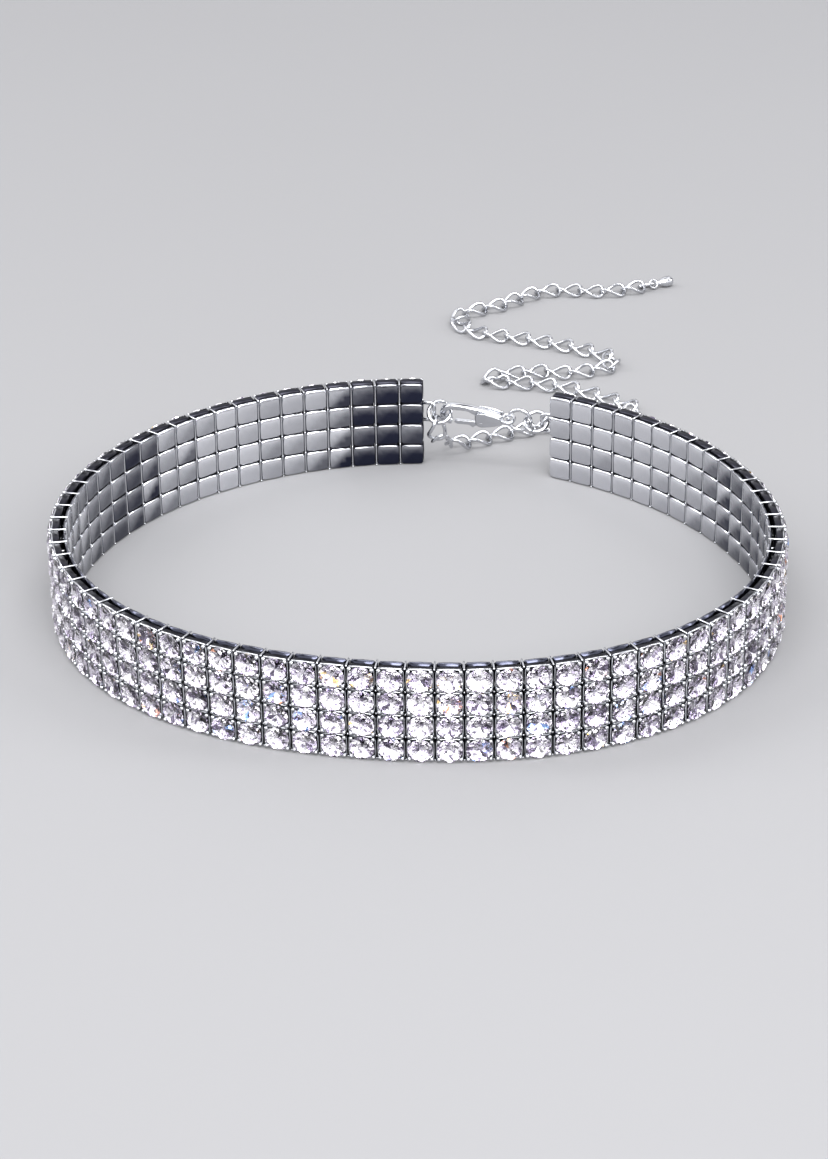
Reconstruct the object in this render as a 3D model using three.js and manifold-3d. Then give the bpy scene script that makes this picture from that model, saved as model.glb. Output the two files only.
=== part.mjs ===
// A choker necklace of cut stones, lying as a closed loop on a table with its spare chain behind it.
// The band is four rows of square cups, each with one stone. Silver tiles back the cups on the neck
// side, and a wire rung joins cups and tiles at every column. A lobster clasp closes the band.
// Millimetres, +Z up. The neck loop is drawn round the middle of the neck and the finished part is
// then moved so that the middle of its box, on the table, is the origin.
import * as THREE from "three";
import { mergeVertices } from "three/addons/utils/BufferGeometryUtils.js";
import Module from "manifold-3d";

// Neck loop: the plan of the tiles' face, as a radius and its waves round the neck.
const loopRadius = 52;
const loopWaves = [
  { times: 2, cosine: 0.0626, sine: -0.0259 },
  { times: 3, cosine: -0.0059, sine: -0.0187 },
];
const closureAngle = 75.3;

// Band: a column is one tile and one cup wide, and has a tile and a cup in each row.
const rows = 4;
const rowPitch = 3.9;
const cellWidth = 4;
const seam = 0.2;
const tileThickness = 0.5;
const tileCrown = 0.2;
const hollowDepth = 0.7;
const cupDepth = 1.5;
const crownHeight = 0.6;
const tableRadius = 1.3;
const rungWidth = 0.6;
const tileSeamDepth = 0.3;
const cupSeamDepth = 0.5;

// Closure: wire loops on the band's ends, three jump rings and a lobster clasp, in line.
const closureRow = 2.5;
const loopWire = 0.35;
const loopReach = 1.8;
const loopHeight = 3.2;
const loopRoot = 0.7;
const ringRadius = 2;
const ringWire = 0.35;
const wireGap = 0.3;
const ringTilt = { hook: 50, clasp: 95, band: 35 };

// Clasp: a hook with a round nose, a thick heel that holds the lever, and an eye at its tail.
const claspLength = 11.2;
const claspTilt = 115;
const noseRadius = 2.6;
const hookWall = 1.1;
const hookTipAngle = 250;
const hookThickness = 1.2;
const hookRelief = 0.15;
const mouthLength = 6.5;
const heelHalf = 2;
const heelThickness = 2.2;
const neckHalf = 0.75;
const eyeRadius = 1.1;
const eyeWire = 0.35;
const eyeTilt = 20;
const leverThickness = 0.8;
const leverWidth = 0.95;
const leverGap = 0.25;
const pivotInset = { along: 0.9, down: 1 };
const pivotEye = 0.75;
const pinRadius = 0.3;
const pinGap = 0.2;
const nub = { width: 0.9, height: 0.6 };

// Spare chain: twisted links, with a small ring and a drop at the free end.
const linkPitch = 4.33;
const linkWire = 0.33;
const linkHalfWidth = 1.5;
const linkBite = 0.07;
const leadRoll = -45;
const hangAngle = 260;
const endRingRadius = 1.6;
const endRingTilt = -28;
const dropEyeTilt = 60;
const dropLength = 3.6;
const dropRadius = 1.1;
const dropEyeRadius = 0.8;
const dropEyeWire = 0.28;

// The chain hangs from the hook ring by these points, right, back and up from the ring's middle.
const chainHang = [
  [-0.6, -0.4, -4.5],
  [1.3, 2.9, -7.1],
  [5.3, 5.6, -8.5],
];
// Then it lies on the table by these, right and back from the same place.
const chainRoute = [
  [8.9, 8],
  [12.6, 9.7],
  [16.6, 11.4],
  [20.6, 12.9],
  [24.6, 13.6],
  [32.6, 15],
  [35.8, 16.9],
  [35.4, 20],
  [32.9, 22.1],
  [30.2, 24],
  [27.8, 26.7],
  [24.5, 28.6],
  [20.5, 30.1],
  [16, 31.2],
  [12.4, 31.6],
  [9, 32.2],
  [7.9, 34.1],
  [9.6, 35.8],
  [12.5, 35.5],
  [15.4, 35.7],
  [20.8, 36.4],
  [24, 35.4],
  [27.4, 35.7],
  [30.5, 37.3],
  [33.6, 38.9],
  [34.4, 41.2],
  [32.3, 43],
  [29, 45.5],
  [25.7, 47.5],
  [22, 49.5],
  [18.1, 51.1],
  [14.1, 52.7],
  [10.1, 53.8],
  [6.6, 56.4],
  [4, 59.6],
  [4.4, 63.4],
  [7.6, 66],
  [13.3, 68.6],
  [16.8, 72],
  [20.8, 74.9],
  [25.8, 75.8],
  [32.1, 74.5],
  [36.3, 74.9],
  [39.6, 76.4],
  [42.4, 77.4],
];

const wasm = await Module();
wasm.setup();
const up = new THREE.Vector3(0, 0, 1);
const radians = THREE.MathUtils.degToRad;

// A solid for joining and cutting, from a closed three.js geometry put in its place.
function solidOf(geometry, placing = new THREE.Matrix4()) {
  const bare = geometry.clone().applyMatrix4(placing);
  bare.deleteAttribute("normal");
  bare.deleteAttribute("uv");
  const merged = mergeVertices(bare, 1e-4);
  const vertProperties = merged.attributes.position.array;
  const triVerts = new Uint32Array(merged.index.array);
  return new wasm.Manifold(new wasm.Mesh({ numProp: 3, vertProperties, triVerts }));
}

function geometryOf(solid) {
  const { vertProperties, triVerts } = solid.getMesh();
  const geometry = new THREE.BufferGeometry();
  geometry.setAttribute("position", new THREE.BufferAttribute(new Float32Array(vertProperties), 3));
  geometry.setIndex(new THREE.BufferAttribute(new Uint32Array(triVerts), 1));
  geometry.computeVertexNormals();
  return geometry;
}

// Joins a list by halves, which stays quick when the list is long.
function join(solids) {
  if (solids.length === 1) return solids[0];
  const half = Math.ceil(solids.length / 2);
  return join(solids.slice(0, half)).add(join(solids.slice(half)));
}

const shift = (x, y, z) => new THREE.Matrix4().makeTranslation(x, y, z);
const tilt = (degrees) => new THREE.Matrix4().makeRotationX(radians(degrees));

// The neck loop's plan, run anticlockwise from the middle of the closure.
class NeckLoop extends THREE.Curve {
  getPoint(share, target = new THREE.Vector3()) {
    const angle = radians(closureAngle) + share * 2 * Math.PI;
    const wave = ({ times, cosine, sine }) =>
      cosine * Math.cos(times * angle) + sine * Math.sin(times * angle);
    const radius = loopRadius * loopWaves.reduce((sum, each) => sum + wave(each), 1);
    return target.set(radius * Math.cos(angle), radius * Math.sin(angle), 0);
  }
}
const neckLoop = new NeckLoop();
neckLoop.arcLengthDivisions = 1200;

// The place of a column: x runs along the band, y out through the cups, z up.
function bandFrame(share) {
  const along = neckLoop.getTangentAt(share).negate();
  const out = new THREE.Vector3(-along.y, along.x, 0);
  return new THREE.Matrix4().makeBasis(along, out, up).setPosition(neckLoop.getPointAt(share));
}

// Depths through the band, from the tiles' face outwards.
const bandHeight = rows * rowPitch;
const cupBack = tileThickness + hollowDepth;
const cupFront = cupBack + cupDepth;
const loopDepth = cupBack + loopWire + 0.1;

// Places along the closure, from the band's left end: each wire bears on the next one's inside.
const ringStep = 2 * ringWire + wireGap;
const hookRingAt = loopReach - loopWire - wireGap - ringWire + ringRadius;
const claspAt = hookRingAt + ringRadius - ringWire - wireGap - hookRelief - hookWall;
const eyeAt = claspLength + eyeRadius - eyeWire / 2;
const claspRingAt = claspAt + eyeAt + eyeRadius - eyeWire - wireGap - ringWire + ringRadius;
const bandRingAt = claspRingAt + 2 * ringRadius - ringStep;
const closureLength = bandRingAt + ringRadius - ringWire - wireGap - loopWire + loopReach;

// The share of the loop from the closure's middle to a band end, for a closure of the right length.
const closureEnd = (share) => new THREE.Vector3(0, loopDepth, 0).applyMatrix4(bandFrame(share));
function findGapShare() {
  let low = 0;
  let high = 0.25;
  for (let step = 0; step < 40; step++) {
    const middle = (low + high) / 2;
    if (closureEnd(middle).distanceTo(closureEnd(1 - middle)) < closureLength) low = middle;
    else high = middle;
  }
  return low;
}
const gapShare = findGapShare();
const bandShare = 1 - 2 * gapShare;
const columns = Math.round((bandShare * neckLoop.getLength()) / (cellWidth + seam));
const columnShare = bandShare / columns;

// Corner lists of one column, in its own frame: x along the band, y outwards, z up.
const halfCell = cellWidth / 2;
const halfHollow = (cellWidth + seam - rungWidth) / 2;
const seamFront = cupFront - cupSeamDepth;
const sides = [-1, 1];
const levels = Array.from({ length: rows + 1 }, (_, level) => level * rowPitch);

// Adds a flat face to a list of triangles. Outward is the side that it is seen from.
function addFace(triangles, frame, outward, corners, hole = []) {
  const normal = new THREE.Vector3(...outward);
  const points = [...corners, ...hole].map((corner) => new THREE.Vector3(...corner));
  const keep = [0, 1, 2].filter((axis) => axis !== outward.findIndex((part) => part !== 0));
  const flat = (list) => list.map((corner) => new THREE.Vector2(corner[keep[0]], corner[keep[1]]));
  const holes = hole.length ? [flat(hole)] : [];
  for (const [a, b, c] of THREE.ShapeUtils.triangulateShape(flat(corners), holes)) {
    const [p, q, r] = [points[a], points[b], points[c]];
    const turn = q.clone().sub(p).cross(r.clone().sub(p)).dot(normal);
    const facing = turn > 0 ? [p, q, r] : [p, r, q];
    triangles.push(...facing.map((point) => point.clone().applyMatrix4(frame)));
  }
}

// Adds a face across one end of a column, from corners given as depth and height.
function addEndFace(triangles, frame, side, corners) {
  addFace(triangles, frame, [side, 0, 0], corners.map(([depth, level]) => [side * halfCell, depth, level]));
}

// The tiles' face, crowned across each row, as depth and height from foot to top.
const tileProfile = levels.flatMap((level, index) => {
  const border = [tileCrown, level];
  return index === rows ? [border] : [border, [0, level + rowPitch / 2]];
});

function addTiles(triangles, frame) {
  for (let index = 1; index < tileProfile.length; index++) {
    const [[fromDepth, from], [toDepth, to]] = tileProfile.slice(index - 1, index + 1);
    addFace(triangles, frame, [0, -1, 0], [
      [-halfCell, fromDepth, from],
      [halfCell, fromDepth, from],
      [halfCell, toDepth, to],
      [-halfCell, toDepth, to],
    ]);
  }
  for (const side of sides) {
    const edge = [[tileSeamDepth, 0], ...tileProfile, [tileSeamDepth, bandHeight]];
    addEndFace(triangles, frame, side, edge);
  }
}

// Each square cup holds a stone: eight facets rise from the cup's rim to the table.
function addStones(triangles, frame) {
  for (let row = 0; row < rows; row++) {
    const middle = (levels[row] + levels[row + 1]) / 2;
    const rim = [[1, 0], [1, 1], [-1, 1], [-1, 0]].map(([x, z]) => [
      x * halfCell,
      cupFront,
      levels[row + z],
    ]);
    const table = [[1, 0], [0, 1], [-1, 0], [0, -1]].map(([x, z]) => [
      x * tableRadius,
      cupFront + crownHeight,
      middle + z * tableRadius,
    ]);
    addFace(triangles, frame, [0, 1, 0], table);
    table.forEach((corner, index) => {
      const next = (index + 1) % table.length;
      addFace(triangles, frame, [0, 1, 0], [rim[index], rim[next], corner]);
      addFace(triangles, frame, [0, 1, 0], [corner, rim[next], table[next]]);
    });
  }
  for (const side of sides) {
    const edge = [[seamFront, 0], ...levels.map((level) => [cupFront, level]), [seamFront, bandHeight]];
    addEndFace(triangles, frame, side, edge);
  }
}

// Foot, top and the walls of the hollow between tiles and cups.
function addHollow(triangles, frame) {
  const outline = [tileCrown, tileSeamDepth, seamFront, cupFront].map((depth) => [halfCell, depth]);
  const plan = [...outline, ...outline.map(([x, y]) => [-x, y]).reverse()];
  const hollow = [
    [-halfHollow, tileThickness],
    [halfHollow, tileThickness],
    [halfHollow, cupBack],
    [-halfHollow, cupBack],
  ];
  const at = (list, level) => list.map(([x, y]) => [x, y, level]);
  addFace(triangles, frame, [0, 0, -1], at(plan, 0), at(hollow, 0));
  addFace(triangles, frame, [0, 0, 1], at(plan, bandHeight), at(hollow, bandHeight));
  const inward = [[0, 1, 0], [-1, 0, 0], [0, -1, 0], [1, 0, 0]];
  inward.forEach((outward, index) => {
    const wall = [hollow[index], hollow[(index + 1) % hollow.length]];
    addFace(triangles, frame, outward, [...at(wall, 0), ...at(wall.reverse(), bandHeight)]);
  });
}

// The wire rung fills the seam from one column's end to the next, short of both faces.
function addRung(triangles, frame, nextFrame) {
  const back = new THREE.Matrix4().copy(frame).invert().multiply(nextFrame);
  const corner = (depth, level) => [
    [-halfCell, depth, level],
    new THREE.Vector3(halfCell, depth, level).applyMatrix4(back).toArray(),
  ];
  const quad = (outward, [a, b], [c, d]) => addFace(triangles, frame, outward, [a, b, d, c]);
  quad([0, -1, 0], corner(tileSeamDepth, 0), corner(tileSeamDepth, bandHeight));
  quad([0, 1, 0], corner(seamFront, 0), corner(seamFront, bandHeight));
  quad([0, 0, -1], corner(tileSeamDepth, 0), corner(seamFront, 0));
  quad([0, 0, 1], corner(tileSeamDepth, bandHeight), corner(seamFront, bandHeight));
}

function addEndWall(triangles, frame, side) {
  addEndFace(triangles, frame, side, [
    [tileSeamDepth, 0],
    [seamFront, 0],
    [seamFront, bandHeight],
    [tileSeamDepth, bandHeight],
  ]);
}

// A closed tube round a wire loop. Its centreline is an oval, twisted up and down twice a turn.
function wireLoop(halfLength, halfWidth, twist, wire, steps, sides) {
  const positions = [];
  const faces = [];
  for (let step = 0; step < steps; step++) {
    const turn = ((step + 0.5) / steps) * 2 * Math.PI;
    const centre = new THREE.Vector3(
      halfLength * Math.cos(turn),
      halfWidth * Math.sin(turn),
      twist * Math.sin(2 * turn),
    );
    const along = new THREE.Vector3(
      -halfLength * Math.sin(turn),
      halfWidth * Math.cos(turn),
      2 * twist * Math.cos(2 * turn),
    ).normalize();
    const out = new THREE.Vector3(halfWidth * Math.cos(turn), halfLength * Math.sin(turn), 0);
    out.addScaledVector(along, -out.dot(along)).normalize();
    const over = new THREE.Vector3().crossVectors(out, along).negate();
    for (let side = 0; side < sides; side++) {
      const angle = (side / sides) * 2 * Math.PI;
      const point = centre.clone();
      point.addScaledVector(out, wire * Math.cos(angle)).addScaledVector(over, wire * Math.sin(angle));
      positions.push(...point);
      const here = step * sides + side;
      const beside = step * sides + ((side + 1) % sides);
      const ahead = ((step + 1) % steps) * sides;
      const next = ahead + side;
      const nextBeside = ahead + ((side + 1) % sides);
      faces.push(here, beside, nextBeside, here, nextBeside, next);
    }
  }
  const geometry = new THREE.BufferGeometry();
  geometry.setAttribute("position", new THREE.Float32BufferAttribute(positions, 3));
  geometry.setIndex(faces);
  return geometry;
}
const jumpRing = (radius, wire) => new THREE.TorusGeometry(radius, wire, 5, 12);

// A wire that is open at both ends, along chosen points.
function wireAlong(points, wire, steps) {
  const section = new THREE.Shape();
  const corners = 5;
  for (let index = 0; index < corners; index++) {
    const angle = (index * 2 * Math.PI) / corners;
    const corner = [wire * Math.cos(angle), wire * Math.sin(angle)];
    if (index === 0) section.moveTo(...corner);
    else section.lineTo(...corner);
  }
  const extrudePath = new THREE.CatmullRomCurve3(points, false, "chordal");
  return new THREE.ExtrudeGeometry(section, { steps, extrudePath, bevelEnabled: false });
}

// The loop on a band end, reaching out along +x from legs rooted in the cups.
function endLoop() {
  const half = loopHeight / 2;
  const corner = loopWire * 1.8;
  const outline = [
    [-loopRoot, half],
    [loopReach - corner, half],
    [loopReach, half - corner],
    [loopReach, corner - half],
    [loopReach - corner, -half],
    [-loopRoot, -half],
  ];
  return wireAlong(outline.map(([x, z]) => new THREE.Vector3(x, 0, z)), loopWire, 11);
}

// The closure's own frame: x from the band's left end to its right end, y away from the neck.
const leftEnd = closureEnd(gapShare);
const rightEnd = closureEnd(1 - gapShare);
const closureDirection = rightEnd.clone().sub(leftEnd).normalize();
const closureTurn = Math.atan2(closureDirection.y, closureDirection.x);
const closureFrame = new THREE.Matrix4()
  .makeRotationZ(closureTurn)
  .setPosition(leftEnd.x, leftEnd.y, closureRow * rowPitch);

// Half of the band, as columns, the rungs between them and the loop at its free end.
function bandHalf(first, last, loopFrame) {
  const triangles = [];
  const frameOf = (column) => bandFrame(gapShare + (column + 0.5) * columnShare);
  for (let column = first; column < last; column++) {
    const frame = frameOf(column);
    addTiles(triangles, frame);
    addStones(triangles, frame);
    addHollow(triangles, frame);
    if (column < last - 1) addRung(triangles, frame, frameOf(column + 1));
  }
  addEndWall(triangles, frameOf(first), 1);
  addEndWall(triangles, frameOf(last - 1), -1);
  const ladder = new THREE.BufferGeometry().setFromPoints(triangles);
  return geometryOf(solidOf(ladder).add(solidOf(endLoop(), loopFrame)));
}

// The clasp's flat form lies in x and y, nose at the origin, with its thickness along z.
function extruded(shape, thickness) {
  const options = { depth: thickness, bevelEnabled: false, curveSegments: 6 };
  const geometry = new THREE.ExtrudeGeometry(shape, options);
  return geometry.translate(0, 0, -thickness / 2);
}

const pivot = { x: mouthLength + pivotInset.along, y: -pivotInset.down };
const hookInner = noseRadius - hookWall;

function claspBody() {
  const hook = new THREE.Shape();
  hook.absarc(noseRadius, 0, noseRadius, radians(hookTipAngle), radians(90), true);
  hook.quadraticCurveTo(mouthLength, noseRadius, claspLength, neckHalf * 0.9);
  hook.lineTo(claspLength, -neckHalf * 0.9);
  hook.lineTo(mouthLength + 0.3, -neckHalf);
  hook.lineTo(mouthLength, 0);
  hook.quadraticCurveTo(mouthLength * 0.9, hookInner, noseRadius, hookInner);
  hook.absarc(noseRadius, 0, hookInner, radians(90), radians(hookTipAngle), false);
  const heel = new THREE.Shape();
  heel.moveTo(mouthLength, -heelHalf);
  heel.quadraticCurveTo((mouthLength + claspLength) / 2, -heelHalf, claspLength, -neckHalf);
  heel.lineTo(claspLength, neckHalf);
  heel.quadraticCurveTo((mouthLength + claspLength) / 2, heelHalf, mouthLength, heelHalf * 0.8);
  const slotEnd = { x: pivot.x + pivotEye + wireGap, y: pivot.y + pivotEye + wireGap };
  const slotWidth = leverThickness + 2 * leverGap;
  const slotSize = { x: slotEnd.x - mouthLength + 1, y: slotEnd.y + heelHalf + 1 };
  const slot = new THREE.BoxGeometry(slotSize.x, slotSize.y, slotWidth);
  slot.translate(slotEnd.x - slotSize.x / 2, slotEnd.y - slotSize.y / 2, 0);
  const pinLength = (slotWidth + heelThickness) / 2;
  const pin = new THREE.CylinderGeometry(pinRadius, pinRadius, pinLength, 8);
  pin.rotateX(Math.PI / 2).translate(pivot.x, pivot.y, 0);
  const eye = jumpRing(eyeRadius, eyeWire).applyMatrix4(tilt(eyeTilt - claspTilt)).translate(eyeAt, 0, 0);
  const form = solidOf(extruded(hook, hookThickness)).add(solidOf(extruded(heel, heelThickness)));
  return geometryOf(form.subtract(solidOf(slot)).add(solidOf(pin)).add(solidOf(eye)));
}

// The lever's nose runs on an arc round its pivot, just inside the hook's tip.
function claspLever() {
  const tip = { x: noseRadius + hookInner * Math.cos(radians(hookTipAngle)) };
  tip.y = hookInner * Math.sin(radians(hookTipAngle));
  const reach = Math.hypot(tip.x - pivot.x, tip.y - pivot.y) - wireGap;
  const inner = tip.y;
  const outer = inner - leverWidth;
  const noseAt = (y) => pivot.x - Math.sqrt(reach ** 2 - (y - pivot.y) ** 2);
  const nubEnd = mouthLength - wireGap;
  const lever = new THREE.Shape();
  lever.moveTo(noseAt(outer), outer);
  lever.lineTo(nubEnd - 1.4 * nub.width, outer);
  lever.lineTo(nubEnd - nub.width, outer - nub.height);
  lever.lineTo(nubEnd - 0.2 * nub.width, outer - nub.height);
  lever.lineTo(nubEnd, outer);
  lever.absarc(pivot.x, pivot.y, pivotEye, radians(-110), radians(110), false);
  lever.lineTo(nubEnd, inner + 0.1);
  lever.lineTo(noseAt(inner), inner);
  const hole = new THREE.Path();
  hole.absarc(pivot.x, pivot.y, pinRadius + pinGap, 0, 2 * Math.PI, true);
  lever.holes.push(hole);
  return extruded(lever, leverThickness);
}

// Joints between links, one pitch apart in a straight line, along a smooth curve through the route.
const linkTwist = linkHalfWidth / 2;
const linkLie = linkTwist + linkWire;
const hookRingFrame = closureFrame.clone().multiply(shift(hookRingAt, 0, 0));
const hookRingCentre = new THREE.Vector3().setFromMatrixPosition(hookRingFrame);
const routeSteps = 40;
function chainJoints() {
  const hang = chainHang.map((offset) => new THREE.Vector3(...offset).add(hookRingCentre));
  const laid = chainRoute.map(([x, y]) => new THREE.Vector3(x, y, 0).add(hookRingCentre).setZ(linkLie));
  const around = new THREE.Vector3(Math.cos(radians(hangAngle)), Math.sin(radians(hangAngle)), 0);
  const held = around.multiplyScalar(ringRadius);
  held.applyMatrix4(tilt(ringTilt.hook)).applyMatrix4(hookRingFrame);
  const down = hang[0].clone().sub(held).normalize();
  const start = held.addScaledVector(down, -ringWire - wireGap - linkBite);
  const curve = new THREE.CatmullRomCurve3([start, ...hang, ...laid], false, "centripetal");
  const joints = [start];
  for (const point of curve.getPoints(routeSteps * chainRoute.length)) {
    if (point.distanceTo(joints.at(-1)) >= linkPitch) joints.push(point);
  }
  return joints;
}
const joints = chainJoints();

// The place of a link between two joints: x along it, z up from the table.
function linkFrame(index) {
  const [from, to] = [joints[index], joints[index + 1]];
  const along = to.clone().sub(from).normalize();
  const across = new THREE.Vector3().crossVectors(up, along).normalize();
  const over = new THREE.Vector3().crossVectors(along, across);
  const roll = index === 0 ? leadRoll : 0;
  const middle = from.clone().add(to).multiplyScalar(0.5);
  return new THREE.Matrix4()
    .makeBasis(along, across, over)
    .setPosition(middle)
    .multiply(tilt(roll));
}

function extenderChain() {
  const steps = 10;
  const halfLength = (linkPitch / 2 + linkWire - linkBite) / Math.cos(Math.PI / steps);
  const link = wireLoop(halfLength, linkHalfWidth, linkTwist, linkWire, steps, 5);
  return geometryOf(join(joints.slice(1).map((_, index) => solidOf(link, linkFrame(index)))));
}

// Places past the chain's last joint, along its last link.
const endRingAt = endRingRadius - wireGap - ringWire;
const dropEyeAt = endRingAt + endRingRadius - ringWire - wireGap - dropEyeWire + dropEyeRadius;
function tailFrame() {
  const [from, to] = joints.slice(-2);
  const turn = Math.atan2(to.y - from.y, to.x - from.x);
  return new THREE.Matrix4().makeRotationZ(turn).setPosition(to.x, to.y, 0);
}

function endDrop() {
  const profile = [
    [0, 0],
    [0.4, 0.1],
    [0.9, 0.5],
    [1, 0.75],
    [0.7, 0.95],
    [0, 1],
  ].map(([out, along]) => new THREE.Vector2(out * dropRadius, along * dropLength));
  const body = new THREE.LatheGeometry(profile, 10).rotateZ(-Math.PI / 2);
  body.translate(dropEyeRadius, 0, 0);
  const eye = jumpRing(dropEyeRadius, dropEyeWire);
  return geometryOf(solidOf(body).add(solidOf(eye, tilt(dropEyeTilt))));
}

const silver = new THREE.MeshStandardMaterial({ color: 0xc8ccd2, metalness: 1, roughness: 0.22 });
const crystal = new THREE.MeshStandardMaterial({ color: 0xeee9f4, metalness: 0.35, roughness: 0.08 });

function piece(name, geometry, material, ...placings) {
  const mesh = new THREE.Mesh(geometry, material);
  mesh.name = name;
  for (const placing of placings.reverse()) mesh.applyMatrix4(placing);
  return mesh;
}

const necklace = new THREE.Group();
const frontColumn = Math.floor(columns / 2);
const rightLoopFrame = closureFrame
  .clone()
  .multiply(shift(closureLength, 0, 0))
  .multiply(new THREE.Matrix4().makeRotationZ(Math.PI));
const claspFrame = [closureFrame, shift(claspAt, 0, 0), tilt(claspTilt)];
const closureRing = (at, degrees) => [closureFrame, shift(at, 0, 0), tilt(degrees)];
const tail = tailFrame();
const endRingLie = endRingRadius * Math.sin(radians(-endRingTilt)) + ringWire;
const endRingPlace = [tail, shift(endRingAt, 0, endRingLie), tilt(endRingTilt)];
const closingRing = jumpRing(ringRadius, ringWire);
const endRing = jumpRing(endRingRadius, ringWire);
necklace.add(
  piece("stone_band_left", bandHalf(0, frontColumn, closureFrame), crystal),
  piece("stone_band_right", bandHalf(frontColumn, columns, rightLoopFrame), crystal),
  piece("hook_ring", closingRing, silver, ...closureRing(hookRingAt, ringTilt.hook)),
  piece("clasp_body", claspBody(), silver, ...claspFrame),
  piece("clasp_lever", claspLever(), silver, ...claspFrame),
  piece("clasp_ring", closingRing, silver, ...closureRing(claspRingAt, ringTilt.clasp)),
  piece("band_ring", closingRing, silver, ...closureRing(bandRingAt, ringTilt.band)),
  piece("extender_chain", extenderChain(), silver),
  piece("end_ring", endRing, silver, ...endRingPlace),
  piece("end_drop", endDrop(), silver, tail, shift(dropEyeAt, 0, dropRadius)),
);

// The origin is the middle of the finished part's box, on the table.
necklace.updateMatrixWorld(true);
const box = new THREE.Box3().setFromObject(necklace, true);
const middle = box.getCenter(new THREE.Vector3());
necklace.position.set(-middle.x, -middle.y, -box.min.z);

export default necklace;
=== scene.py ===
"""A choker of four rows of cut stones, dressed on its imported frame.

Metres, +Z up. The band follows the plan of the neck loop. Each of its columns has square cups with round
stones outside, silver tiles inside, and a wire rung to the next column. A clasp closes the band and a
spare chain lies behind it. Shapes are numpy arrays, made in their own axes and then set in their places.
"""

import bpy
import numpy as np
from mathutils import Matrix, Vector


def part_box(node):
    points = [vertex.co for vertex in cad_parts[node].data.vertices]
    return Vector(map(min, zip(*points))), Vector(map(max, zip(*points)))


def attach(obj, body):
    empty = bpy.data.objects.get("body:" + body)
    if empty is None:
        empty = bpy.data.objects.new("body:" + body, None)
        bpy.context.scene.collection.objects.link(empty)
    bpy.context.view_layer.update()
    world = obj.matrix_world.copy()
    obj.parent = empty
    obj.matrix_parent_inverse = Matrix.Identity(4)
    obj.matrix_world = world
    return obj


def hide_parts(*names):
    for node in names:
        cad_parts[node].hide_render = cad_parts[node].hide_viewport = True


bl_info = {
    "name": "Stone Choker",
    "version": (1, 0, 0),
    "blender": (4, 5, 0),
    "location": "View3D > Sidebar > Choker",
    "description": "Dresses the packed frame of a choker with cut stones, silver and a studio",
    "category": "Add Mesh",
}

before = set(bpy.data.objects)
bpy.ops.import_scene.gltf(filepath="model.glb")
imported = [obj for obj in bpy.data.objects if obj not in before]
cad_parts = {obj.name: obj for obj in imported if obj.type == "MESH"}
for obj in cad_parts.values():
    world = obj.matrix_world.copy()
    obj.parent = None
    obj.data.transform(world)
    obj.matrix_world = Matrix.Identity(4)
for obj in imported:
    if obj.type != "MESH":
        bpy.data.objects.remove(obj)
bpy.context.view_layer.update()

MM = 0.001
BODY = "necklace"
LEVER_BODY = "clasp_lever"
ALONG, OUT, UP = np.eye(3)

# The neck loop's plan: how often each wave goes round, and its cosine and sine share of the radius.
LOOP_RADIUS = 52 * MM
LOOP_WAVES = ((2, 0.0626, -0.0259), (3, -0.0059, -0.0187))
CLOSURE_ANGLE = np.radians(75.3)

# How far each jump ring is turned about the closure's line, in degrees.
RING_TILTS = {"hook_ring": 50, "clasp_ring": 95, "band_ring": 35}

# The corners of a rounded square's ring of points, as angles in its first quarter.
CORNER_ANGLES = np.radians((0, 40, 50))
SQUARE_POINTS = 4 * len(CORNER_ANGLES)

# Painted reflections on the lining: how light it is painted, in percent, at some of its columns, counted
# from the band's left end.
PAINTED_LINING_REFLECTIONS = (
    (0, 0), (2, 5), (4, 55), (8, 70), (11, 45), (13, 8), (17, 30), (24, 50), (50, 45), (60, 20),
    (63, 30), (66, 62), (72, 68),
)

# Painted glints and dark reflections on the stones' foiled facets, the rare warm and blue ones as painted
# fire: how often each comes, and its colour.
FACET_PAINTED_GLINTS = (
    (0.58, 1, 0.99, 1), (0.22, 0.97, 0.93, 1), (0.09, 0.8, 0.75, 0.86), (0.09, 0.14, 0.12, 0.17),
    (0.008, 1, 0.72, 0.3), (0.007, 0.35, 0.55, 1), (0.005, 1, 0.45, 0.25),
)

# The studio's lamps, each with its place, size and power. All face the middle of the floor.
LAMPS = {
    "overhead": ((0, -0.45, 1.15), (1.2, 0.6), 15),
    "front": ((0.15, -1.15, 0.75), (0.8, 0.4), 14),
    "left": ((-1, 0.1, 0.8), (0.25, 0.9), 7),
    "right": ((1, -0.1, 0.7), (0.2, 0.9), 6),
}

# The surround's levels from low behind to high in front.
SKY_STOPS = ((0, 0.6), (0.25, 0.85), (0.5, 0.9), (0.75, 1.15), (1, 1.2))

# The chain's route, in millimetres from the middle of the hook ring: first right, back and up while it
# hangs, then right and back while it lies on the floor.
CHAIN_HANG = ((-0.6, -0.4, -4.5), (1.3, 2.9, -7.1), (5.3, 5.6, -8.5))
CHAIN_ROUTE = (
    (8.9, 8), (12.6, 9.7), (16.6, 11.4), (20.6, 12.9), (24.6, 13.6), (32.6, 15), (35.8, 16.9),
    (35.4, 20), (32.9, 22.1), (30.2, 24), (27.8, 26.7), (24.5, 28.6), (20.5, 30.1), (16, 31.2),
    (12.4, 31.6), (9, 32.2), (7.9, 34.1), (9.6, 35.8), (12.5, 35.5), (15.4, 35.7), (20.8, 36.4),
    (24, 35.4), (27.4, 35.7), (30.5, 37.3), (33.6, 38.9), (34.4, 41.2), (32.3, 43), (29, 45.5),
    (25.7, 47.5), (22, 49.5), (18.1, 51.1), (14.1, 52.7), (10.1, 53.8), (6.6, 56.4), (4, 59.6),
    (4.4, 63.4), (7.6, 66), (13.3, 68.6), (16.8, 72), (20.8, 74.9), (25.8, 75.8), (32.1, 74.5),
    (36.3, 74.9), (39.6, 76.4), (42.4, 77.4),
)
CURVE_STEPS = 40 * len(CHAIN_ROUTE)


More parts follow.
